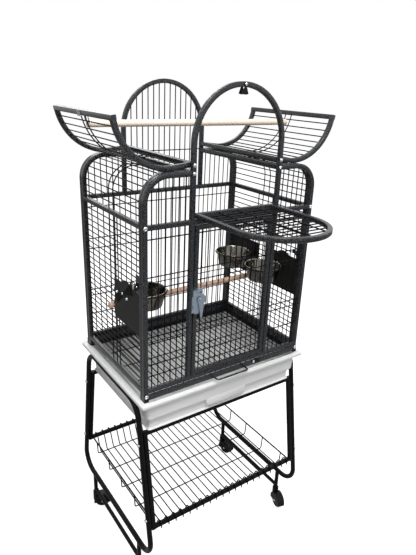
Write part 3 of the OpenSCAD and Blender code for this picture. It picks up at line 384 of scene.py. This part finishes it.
def block(lo, hi, r=0.6, k=3):
    """A block with rounded edges: rings of rounded rectangles, inset by r (1 - sin a) at both ends."""
    lo, hi = np.asarray(lo, float), np.asarray(hi, float)
    centre, half = (lo + hi) / 2, (hi - lo) / 2
    r = min(r, 0.95 * half.min())
    a = np.linspace(0, TAU / 4, k + 1)
    inset = np.concatenate([r * (1 - np.sin(a)), r * (1 - np.sin(a[::-1]))])
    level = np.concatenate([lo[2] + r * (1 - np.cos(a)), hi[2] - r * (1 - np.cos(a[::-1]))])
    rings = [rounded_rectangle(half[0] - i, half[1] - i, max(r - i, 0.02) + 0.02, 3) for i in inset]
    return capped(np.stack([at_height(ring + centre[:2], z) for ring, z in zip(rings, level)]))


def at_height(ring, z):
    """A flat ring of points (m, 2) laid at a height."""
    return np.column_stack([ring, np.full(len(ring), z)])


def rounded_rectangle(hx, hy, r, k=8):
    """A rectangle of half sides hx and hy with corners of radius r: quarter turns about their centres."""
    a = np.concatenate([np.linspace(0, TAU / 4, k + 1) + q * TAU / 4 for q in range(4)])
    sx = np.repeat([1, -1, -1, 1], k + 1) * (hx - r)
    sy = np.repeat([1, 1, -1, -1], k + 1) * (hy - r)
    return np.stack([sx + r * np.cos(a), sy + r * np.sin(a)], -1)


def cross_screw(d, h, n=30):
    """Domed head with a cross recess.

    On a disc of radius R the height is the dome h (1 - (r / R)^2)^0.5, less a depth that falls off
    softly outside two crossed slots."""
    radius = d / 2
    r = np.sin(np.linspace(0, TAU / 4, n // 2)) * radius
    a = np.arange(n * 2) / (n * 2) * TAU
    x, y = r[:, None] * np.cos(a), r[:, None] * np.sin(a)
    dome = h * np.sqrt(np.maximum(1 - (r / radius) ** 2, 0))[:, None] * np.ones_like(x)
    wide, long = 0.11 * d, 0.27 * d

    def slot(u, v):
        across = np.clip((wide / 2 + 0.06 * d - np.abs(u)) / (0.06 * d), 0, 1)
        return across * np.clip((long - np.abs(v)) / (0.05 * d), 0, 1)

    z = np.maximum(dome - 0.62 * h * np.maximum(slot(x, y), slot(y, x)), 0)
    z[-1] = 0
    top = np.stack([x, y, z], -1)
    skirt = np.stack([x[-1], y[-1], np.full_like(x[-1], -0.35)], -1)[None]
    verts, faces = grid(np.concatenate([top, skirt]))
    count = len(a)
    faces.append([(len(r)) * count + k for k in range(count)])
    return verts, faces


def cap_nut(d, h):
    """Domed cap nut: six flats up to a shoulder, then a dome of elliptic height."""
    a = np.linspace(0, TAU / 4, 8)
    hexagon = np.arange(24) / 24 * TAU
    flat = (d / 2) / np.cos((hexagon + TAU / 12) % (TAU / 6) - TAU / 12)
    turn = np.stack([np.cos(hexagon), np.sin(hexagon)], -1)
    rings = [at_height(flat[:, None] * turn, z) for z in (0, 0.38 * h)]
    rings += [at_height(0.46 * d * np.cos(t) * turn, 0.42 * h + 0.58 * h * np.sin(t)) for t in a]
    verts, faces = grid(np.stack(rings))
    faces.append(list(range(24)))
    return verts, faces


def washer(d, t):
    """Flat ring with a rounded outer edge, closed over its middle."""
    r = d / 2
    return lathe([(0, 0), (r - 0.3, 0), (r, 0.3), (r, t - 0.3), (r - 0.3, t), (0, t)], 32)


def rod(a, b, d, m=20):
    """Round rod from one point to another, its end edges rounded by a tenth of the diameter."""
    a, b = np.asarray(a, float), np.asarray(b, float)
    length, r, e = np.linalg.norm(b - a), d / 2, 0.1 * d
    shape = lathe([(0, 0), (r - e, 0), (r, e), (r, length - e), (r - e, length), (0, length)], m)
    return turned(shape, b - a, a)


class DressFrames(bpy.types.Operator):
    """Gives every CAD node its coat, and softens the edges of its corners"""
    bl_idname = "bird_cage.dress_frames"
    bl_label = "Dress the frames"

    def execute(self, context):
        slots = {s["node"]: s["material_slot"] for s in frame["record"]["subparts"]}
        # Width of the edges' softening, in millimetres, by the start of the node's name
        bevels = {"latch_case": 1.3, "latch_lever": 1.1, "corner_feet": 0.7, "arch_latch": 0.5, "door_turn": 0.5,
                  "feeder_latch": 0.5, "caster": 0.8, "grate_lock": 0.5, "base_channel": 0.3}
        for name, node in frame["nodes"].items():
            kind = slots[name]
            if "wires" in name or name == "grate":
                kind = "wire_coat"
            if name in ("arch_latch", "door_turn") or name.startswith("feeder_latch"):
                kind = "black_plastic"
            if name.startswith("feeder_door"):
                kind = "sheet_coat"
            node.data.materials.clear()
            node.data.materials.append(finish(kind))
            node.data.shade_smooth()
            weld = node.modifiers.new("Weld", "WELD")
            weld.merge_threshold = 2e-6
            wide = next((v for k, v in bevels.items() if name.startswith(k)), 0)
            if wide:
                bevel = node.modifiers.new("Bevel", "BEVEL")
                bevel.width, bevel.segments, bevel.limit_method = wide / 1000, 2, "ANGLE"
                bevel.angle_limit = np.radians(50)
                bevel.harden_normals = False
            else:
                split = node.modifiers.new("Edges", "EDGE_SPLIT")
                split.split_angle = np.radians(50)
            node.modifiers.new("Normals", "WEIGHTED_NORMAL").weight = 60
        return {"FINISHED"}


class MakeTray(bpy.types.Operator):
    """Moulds the tray: rolled rim with its skirt, drafted walls, the ledge, and the lower basin with its lip"""
    bl_idname = "bird_cage.make_tray"
    bl_label = "Make the tray"

    def execute(self, context):
        lo, hi = corners("tray")
        s = context.scene.bird_cage_sizes
        edge, foot, rim = hi[:2], lo[2], hi[2]
        body = 1000 * np.array([s.body_x, s.body_y])
        basin = 1000 * np.array([s.basin_x, s.basin_y])
        ledge, skirt, wall, roll = rim - 1000 * s.ledge, 10, 3, 1000 * s.tray_rim
        under = rim - wall
        quarter = np.linspace(0, TAU / 4, 7)
        # Each station: a half size, how far past it, the corners' radius, the height
        # The foot, its lip and the basin's wall
        stations = [(basin, -8, 5, foot), (basin, -2.4, 7, foot), (basin, -1.2, 8, foot + 1),
                    (basin, -1.4, 8, foot + 2.6), (basin, -2.6, 8, foot + 4), (basin, -4.6, 8, foot + 6.4),
                    (basin, -5.2, 9, foot + 9),
                    (basin, -3, 10, ledge - 3), (basin, -2.6, 10, ledge - 1.2), (basin, -1, 10, ledge)]
        # The ledge and the body's wall
        stations += [(body, -7.5, 8, ledge), (body, -4.4, 9, ledge + 1), (body, -2.6, 10, ledge + 3.2),
                     (body, -1.8, 11, ledge + 6.2), (body, -1.4, 11, ledge + 10), (body, -0.1, 11, under - 4),
                     (body, 0.8, 11, under - 1.4), (body, 2.8, 12, under)]
        # The rim's underside, its skirt and the rolled edge
        stations += [(edge, -5, 4, under), (edge, -3, 4.5, under - 0.8), (edge, -2.2, 5, under - 2.4),
                     (edge, -2, 5, rim - skirt + 0.6), (edge, -1.6, 5, rim - skirt + 0.1),
                     (edge, -1, 5.5, rim - skirt), (edge, -0.3, 6, rim - skirt + 0.3),
                     (edge, 0, 6, rim - skirt + 1)]
        for a in quarter:
            in_by = roll * (np.cos(a) - 1)
            stations.append((edge, in_by, 6 + in_by, rim + roll * (np.sin(a) - 1)))
        # A fine groove along the rim, then the inside down to the floor
        stations += [(edge, -6.2, 2, rim), (edge, -6.8, 2, rim - 0.9), (edge, -8.2, 2, rim - 0.9),
                     (edge, -8.8, 2, rim)]
        for a in quarter:
            out_by = 4 - 4 * np.sin(a)
            stations.append((body - wall, out_by, 8 + out_by, rim - 4 + 4 * np.cos(a)))
        stations += [(body - wall, -1.2, 8, ledge + wall + 4), (body - wall, -1.8, 8, ledge + wall + 1.2),
                     (body - wall, -3.4, 8, ledge + wall), (basin - wall, 1, 8, ledge + wall),
                     (basin - wall, -0.6, 7, ledge + wall - 1.2), (basin - wall, -1, 7, ledge + wall - 3),
                     (basin - wall, -3, 7, foot + wall + 6), (basin - wall, -4.5, 6, foot + wall + 1.6),
                     (basin - wall, -8, 5, foot + wall)]
        rings = [at_height(rounded_rectangle(*(half + past), corner), z) for half, past, corner, z in stations]
        shapes = [capped(np.stack(rings))]
        # Raised pad low on the front wall, its ends slanted. Each step: a share of the outline and a depth
        outline = np.array([(-75, 14), (71, 14), (71, -12), (61, -22), (-65, -22), (-75, -12)], float)
        middle = np.array([-2, -10.0])
        steps = [(1, 16), (1, 6), (0.99, 3.6), (0.965, 2.2), (0.93, 1.7)]
        rings = []
        for share, deep in steps:
            x, z = (middle + share * (outline - middle)).T
            rings.append(np.column_stack([x, np.full(len(x), deep - body[1]), ledge + z]))
        shapes.append(capped(np.stack(rings)))
        rib_x, rib_y = 287, 118.6
        for x in (-rib_x, rib_x):
            shapes.append(block((x - 2, -rib_y, rim - skirt), (x + 2, rib_y, rim - 1.5), 0.5))
        piece("tray_moulding", shapes, CAGE, "tray_plastic", ["tray"], 50)
        return {"FINISHED"}


class MakeFeeders(bpy.types.Operator):
    """Spins the cups, and makes the nuts, washers, turn latches and slide bolts of the feeder doors"""
    bl_idname = "bird_cage.make_feeders"
    bl_label = "Make the feeders"

    def execute(self, context):
        reach = 1000 * context.scene.bird_cage_sizes.latch_reach
        for name, sx, sy in (("left", -1, -1), ("front", 1, -1), ("rear", 1, 1)):
            self.cup(name)
            plate = corners("feeder_door_" + name)
            face = plate[0][0] if sx < 0 else plate[1][0]
            out = np.array([sx, 0, 0])
            self.nuts(name, face, out, sy)
            self.latch(name, face, out, sy, reach)
            self.bolt(name, sx, sy)
        return {"FINISHED"}

    def cup(self, name):
        """A bowl with a foot ring and a rolled lip. The bowl's steel is darkened as painted shade, and a ring of
        the same steel, made bright, lies over the lip as a painted highlight.
        """
        lo, hi = corners("cup_" + name)
        centre, r, low, top = (lo + hi) / 2, (hi[0] - lo[0]) / 2, lo[2], hi[2]
        foot = 0.78 * r
        profile = [(0, low + 1.2), (0.55 * foot, low + 1.2), (0.62 * foot, low), (foot - 3, low),
                   (foot - 0.8, low + 0.7), (foot + 0.6, low + 2.6), (r - 3.4, top - 5), (r - 3, top - 2.8),
                   (r - 2.6, top - 2.5)]
        lip = np.linspace(-TAU / 4, TAU / 2 - 0.5, 12)
        profile += [(r - 1 + np.cos(a), top - 1.25 + 1.25 * np.sin(a)) for a in lip]
        profile += [(r - 3.6, top - 1.3), (r - 4.2, top - 3), (foot, low + 4.4), (foot - 1.6, low + 2.3),
                    (foot - 4, low + 1.7), (0, low + 1.9)]
        body = "cup_%s_body" % name
        bowl = moved(lathe(profile, 96), centre[0], centre[1])
        # The bowl in darkened steel: painted shade
        piece("cup_bowl_" + name, [bowl], body, "stainless", ["cup_" + name], 60)
        # Over the lip, a ring of the same steel made bright: a painted highlight
        ring = [(r - 1.6 + 1.5 * np.cos(a), top - 1.3 + 1.3 * np.sin(a)) for a in np.linspace(0, TAU, 13)]
        rim = moved(lathe(ring, 96), centre[0], centre[1])
        piece("cup_lip_highlight_" + name, [rim], body, "lip_highlight_steel", (), 60)

    def nuts(self, name, face, out, sy):
        """The cap nuts of the cup's ring, each on a washer."""
        level = corners("cup_" + name)[1][2] - 4.3
        seats = [np.array([face, sy * y, level]) for y in (49, 109)]
        body = "feeder_" + name
        washers = [turned(washer(11.5, 1.0), out, at) for at in seats]
        piece("ring_washers_" + name, washers, body, "black_plastic", (), 40)
        nuts = [turned(cap_nut(8.4, 6.4), out, at + out) for at in seats]
        piece("ring_nuts_" + name, nuts, body, "chrome", (), 40)

    def latch(self, name, face, out, sy, reach):
        """A bow tie of sheet on a hub: at a share t of its reach its half width is 3 + 12.5 |t|^1.35."""
        lo, hi = corners("feeder_latch_" + name)
        middle = (lo + hi) / 2
        seat = np.array([face, middle[1], middle[2]])
        along = np.array([0, -sy * np.cos(TAU / 12), -np.sin(TAU / 12)])
        across = np.cross(out, along)
        t = np.linspace(-1, 1, 33)[:, None, None]
        wide = 3 + 12.5 * np.abs(t) ** 1.35
        section = np.array([(1, 0.1), (1, 1.2), (0.96, 1.5), (-0.96, 1.5), (-1, 1.2), (-1, 0.1)])
        rings = seat + t * reach * along + wide * section[:, :1] * across + section[:, 1:] * out
        hub = turned(lathe([(0, 0), (4.6, 0), (4.6, 2.6), (4.2, 3), (0, 3)], 32), out, seat)
        body = "turn_latch_" + name
        wings = [capped(rings), hub]
        piece("bow_latch_" + name, wings, body, "latch_black", ["feeder_latch_" + name], 30)
        end = (lo[0] if out[0] < 0 else hi[0], middle[1], middle[2])
        piece("latch_screw_" + name, [turned(cross_screw(7.4, 2.0), out, end)], body, "chrome")

    def bolt(self, name, sx, sy):
        """The slide bolt beside the door, its knob and stop, and the two keepers on the post."""
        x, post, level = sx * 283.2, 171.6, 992

        def at(y, z):
            return x, sy * (post - y), z
        rods = [rod(at(2, level), at(40, level), 4.6), rod(at(12, level - 4), at(12, level + 9.5), 4.0),
                rod(at(22, level - 11), at(22, level + 5.5), 6.0)]
        piece("slide_bolt_" + name, rods, CAGE, "chrome")
        keepers = []
        for y, half in ((8, 4), (33, 3.5)):
            mid = sy * (post - y)
            keepers.append(block((x - 3.4, mid - half, level - 5.5), (x + 3.4, mid + half, level + 5), 1.2))
        piece("bolt_keepers_" + name, keepers, CAGE, "black_plastic")


class MakeScrews(bpy.types.Operator):
    """Makes the domed screws of the frames, the play top, the landing door, the latches and the grate"""
    bl_idname = "bird_cage.make_screws"
    bl_label = "Make the screws"

    def execute(self, context):
        tall = 1000 * context.scene.bird_cage_sizes.screw_dome
        lo, hi = corners("front_frame")
        front = -lo[1]
        post = hi[0] - HALF_TUBE
        leg = corners("front_arch")[1][0] - HALF_TUBE
        foot = corners("corner_feet")[1][1]
        heads, pins = [], []
        for sy in (-1, 1):
            for sx in (-1, 1):
                for d, x, y, z in ((11.6, post, front, FLOOR + 481), (9.6, leg, front, hi[2] - HALF_TUBE),
                                   (11.6, post, foot, FLOOR + 13.65)):
                    heads.append(turned(cross_screw(d, tall), (0, sy, 0), (sx * x, sy * y, z)))
                pin = (sx * leg, sy * (front + 0.15), FLOOR + 622)
                pins.append(turned(cross_screw(9.6, tall), (0, sy, 0), pin))
        piece("frame_screw_heads", heads, CAGE, "chrome", ["frame_screws"])
        piece("hinge_screw_heads", pins, CAGE, "chrome")
        # Each small screw: its piece, the plate that it holds, that plate's body, its place and its size
        for name, plate, body, x, z, d, h in (
            ("crown_screw", "arch_latch", "arch_turn_latch", 0, 809, 7.6, 1.8),
            ("turn_screw", "door_turn", "door_turn_latch", -103.6, 483.2, 7.6, 1.8),
            ("lock_screw", "grate_lock", "grate_lock_plate", 96.3, 14, 8.4, 1.9),
        ):
            at = (x, corners(plate)[0][1] + 0.4, FLOOR + z)
            piece(name, [turned(cross_screw(d, h), (0, -1, 0), at)], body, "chrome")
        return {"FINISHED"}


class MakePerches(bpy.types.Operator):
    """Turns the upper perch as a dowel with eased ends"""
    bl_idname = "bird_cage.make_perches"
    bl_label = "Make the perches"

    def execute(self, context):
        lo, hi = corners("top_perch")
        centre, r, length = (lo + hi) / 2, (hi[2] - lo[2]) / 2, hi[0] - lo[0]
        ease = np.linspace(0, TAU / 4, 5)
        low = [(r - 1.6 + 1.6 * np.sin(a), 1.6 - 1.6 * np.cos(a)) for a in ease]
        profile = [(0, 0)] + low + [(p[0], length - p[1]) for p in low[::-1]] + [(0, length)]
        dowel = turned(lathe(profile, 48), (1, 0, 0), (lo[0], centre[1], centre[2]))
        piece("upper_dowel", [dowel], "upper_perch", "beech", ["top_perch"], 50)
        return {"FINISHED"}


class MakeShelf(bpy.types.Operator):
    """Bends the shelf: long wires hooked over both rails, cross wires turned up, a stout wire at each side"""
    bl_idname = "bird_cage.make_shelf"
    bl_label = "Make the shelf"

    def execute(self, context):
        hi = corners("shelf")[1]
        r = 1.6
        rail, top = hi[1] - HALF_TUBE - 2.5 - r, hi[2] - r
        low, level = rail - 34, top - 55.5
        thick = circle(500 * context.scene.bird_cage_sizes.shelf_wire, 10)
        arm = np.array([(rail + HALF_TUBE + 3.3, top - 18.5), (rail + HALF_TUBE + 2.5, top),
                        (rail - HALF_TUBE - 2, top), (low, level)])
        run = fillet(np.concatenate([arm, (arm * [-1, 1])[::-1]]), 5, 4)
        shapes = []
        for x in np.linspace(-250, 250, 21):
            shapes.append(sweep(thick, np.column_stack([np.full(len(run), x), run]), (1, 0, 0)))
        side = 265
        bend = [(-side, top - 8), (3 - side, level - 2.6), (side - 3, level - 2.6), (side, top - 8)]
        across, up = fillet(bend, 7, 4).T
        for y in np.array([-0.97, -0.48, 0, 0.48, 0.97]) * low:
            shapes.append(sweep(thick, np.column_stack([across, np.full(len(across), y), up]), (0, 1, 0)))
        end = rail - HALF_TUBE - 1.2
        for x in (-side, side):
            shapes.append(rod((x, -end, top - 9.5), (x, end, top - 9.5), 5.2, 14))
        piece("shelf_wires", shapes, CAGE, "stand_coat", ["shelf"], 50)
        return {"FINISHED"}


class MakeCasters(bpy.types.Operator):
    """Adds the hub caps and the axle rivets of the casters"""
    bl_idname = "bird_cage.make_casters"
    bl_label = "Make the casters"

    def execute(self, context):
        disc = [(3.2, 7.6), (3.2, 9.4), (8, 10.2), (13, 9.6), (16.4, 8.4), (17.2, 7.6), (3.2, 7.6)]
        rivet = [(0, 13.4), (2.6, 13.4), (3.8, 14.0), (3.6, 15.2), (2.2, 16.2), (0, 16.5)]
        joints = {j["name"]: j for j in frame["joints"]}
        for name in ("front_left", "front_right", "rear_left", "rear_right"):
            lo, hi = corners("wheel_" + name)
            centre = (lo + hi) / 2
            axis = np.array(joints["wheel_%s_roll" % name]["axis"], float)
            discs = [turned(lathe(disc, 40), sign * axis, centre) for sign in (-1, 1)]
            piece("hub_caps_" + name, discs, "roller_" + name, "hub_plastic", (), 40)
            rivets = [turned(lathe(rivet, 24), sign * axis, centre) for sign in (-1, 1)]
            piece("axle_rivets_" + name, rivets, "swivel_" + name, "chrome", (), 50)
        return {"FINISHED"}


class SetStage(bpy.types.Operator):
    """Makes the pale floor, the soft lamps, the white background and the camera"""
    bl_idname = "bird_cage.set_stage"
    bl_label = "Set the stage"

    def execute(self, context):
        scene = context.scene
        scene.view_settings.view_transform = "Standard"
        mesh = bpy.data.meshes.new("floor")
        mesh.from_pydata([(-9, -9, 0), (9, -9, 0), (9, 9, 0), (-9, 9, 0)], [], [(0, 1, 2, 3)])
        floor = bpy.data.objects.new("floor", mesh)
        scene.collection.objects.link(floor)
        made, tree, shader = new_finish("Pale floor", (0.6, 0.6, 0.6), 0.9)
        grain = noise(tree, 30, Detail=2.0)
        tone = ramp(tree, grain.outputs["Fac"], [(0.2, grey(0.59)), (0.8, grey(0.61))])
        tree.links.new(tone.outputs["Color"], shader.inputs["Base Color"])
        path = tree.nodes.new("ShaderNodeLightPath")
        shader.inputs["Emission Color"].default_value = (1, 1, 1, 1)
        lift = tree.nodes.new("ShaderNodeMath")
        lift.operation = "MULTIPLY"
        lift.inputs[1].default_value = 0.88
        tree.links.new(path.outputs["Is Camera Ray"], lift.inputs[0])
        tree.links.new(lift.outputs[0], shader.inputs["Emission Strength"])
        mesh.materials.append(made)

        world = bpy.data.worlds.new("Studio")
        scene.world = world
        world.use_nodes = True
        tree = world.node_tree
        back = tree.nodes["Background"]
        light_path = tree.nodes.new("ShaderNodeLightPath")
        seen = tree.nodes.new("ShaderNodeMath")
        seen.operation = "MAXIMUM"
        tree.links.new(light_path.outputs["Is Camera Ray"], seen.inputs[0])
        also = tree.nodes.new("ShaderNodeMath")
        also.operation = "MAXIMUM"
        tree.links.new(light_path.outputs["Is Glossy Ray"], also.inputs[0])
        tree.links.new(light_path.outputs["Is Transmission Ray"], also.inputs[1])
        tree.links.new(also.outputs[0], seen.inputs[1])
        strength = tree.nodes.new("ShaderNodeMapRange")
        strength.inputs["To Min"].default_value = 0.24
        strength.inputs["To Max"].default_value = 1.0
        tree.links.new(seen.outputs[0], strength.inputs["Value"])
        back.inputs["Color"].default_value = (1, 1, 1, 1)
        tree.links.new(strength.outputs["Result"], back.inputs["Strength"])

        for name, at, aim, power, wide in (
            ("top", (-0.6, -1.4, 3.3), (0, 0, 0.7), 86, 1.3),
            ("key", (0.6, -3.0, 2.0), (0, 0, 0.8), 2, 0.7),
            ("fill", (2.6, -1.4, 2.0), (0, 0, 0.8), 7, 1.2),
            ("rim", (0.6, 2.6, 2.6), (0, 0, 1.0), 18, 1.4),
        ):
            lamp = bpy.data.lights.new(name, "AREA")
            lamp.energy, lamp.size = power, wide
            holder = bpy.data.objects.new(name, lamp)
            scene.collection.objects.link(holder)
            holder.location = at
            holder.rotation_mode = "QUATERNION"
            holder.rotation_quaternion = (Vector(aim) - Vector(at)).to_track_quat("-Z", "Y")

        data = bpy.data.cameras.new("camera")
        camera = bpy.data.objects.new("camera", data)
        scene.collection.objects.link(camera)
        look = Vector((0.5421, 0.7592, -0.3601)).normalized()
        right = Vector((0.8220, -0.5680, 0.0400))
        right = (right - look * right.dot(look)).normalized()
        lift = right.cross(look)
        turn = Matrix((right, lift, -look)).transposed()
        camera.matrix_world = Matrix.Translation((-0.8136, -1.2148, 1.4742)) @ turn.to_4x4()
        data.sensor_fit = "AUTO"
        data.sensor_width = 36
        data.lens = 502.73 / 555 * 36
        data.clip_start = 0.05
        scene.camera = camera
        return {"FINISHED"}


class BirdCagePanel(bpy.types.Panel):
    """Lists the sizes, the colours and the pieces"""
    bl_idname = "VIEW3D_PT_bird_cage"
    bl_label = "Bird Cage"
    bl_space_type = "VIEW_3D"
    bl_region_type = "UI"
    bl_category = "Bird Cage"

    def draw(self, context):
        column = self.layout.column()
        for group in (context.scene.bird_cage_sizes, context.scene.bird_cage_colours):
            for key in group.bl_rna.properties.keys():
                if key not in ("rna_type", "name"):
                    column.prop(group, key)
        for operator in OPERATORS:
            column.operator(operator.bl_idname)


OPERATORS = (DressFrames, MakeTray, MakeFeeders, MakeScrews, MakePerches, MakeShelf, MakeCasters, SetStage)
GROUPS = (BirdCageSizes, BirdCageColours)


def register():
    for made in GROUPS + OPERATORS + (BirdCagePanel,):
        bpy.utils.register_class(made)
    bpy.types.Scene.bird_cage_sizes = bpy.props.PointerProperty(type=BirdCageSizes)
    bpy.types.Scene.bird_cage_colours = bpy.props.PointerProperty(type=BirdCageColours)


def unregister():
    del bpy.types.Scene.bird_cage_colours
    del bpy.types.Scene.bird_cage_sizes
    for made in reversed(GROUPS + OPERATORS + (BirdCagePanel,)):
        bpy.utils.unregister_class(made)


def main():
    register()
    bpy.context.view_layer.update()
    for operator in OPERATORS:
        group, call = operator.bl_idname.split(".")
        getattr(getattr(bpy.ops, group), call)()


if __name__ == "__main__":
    main()
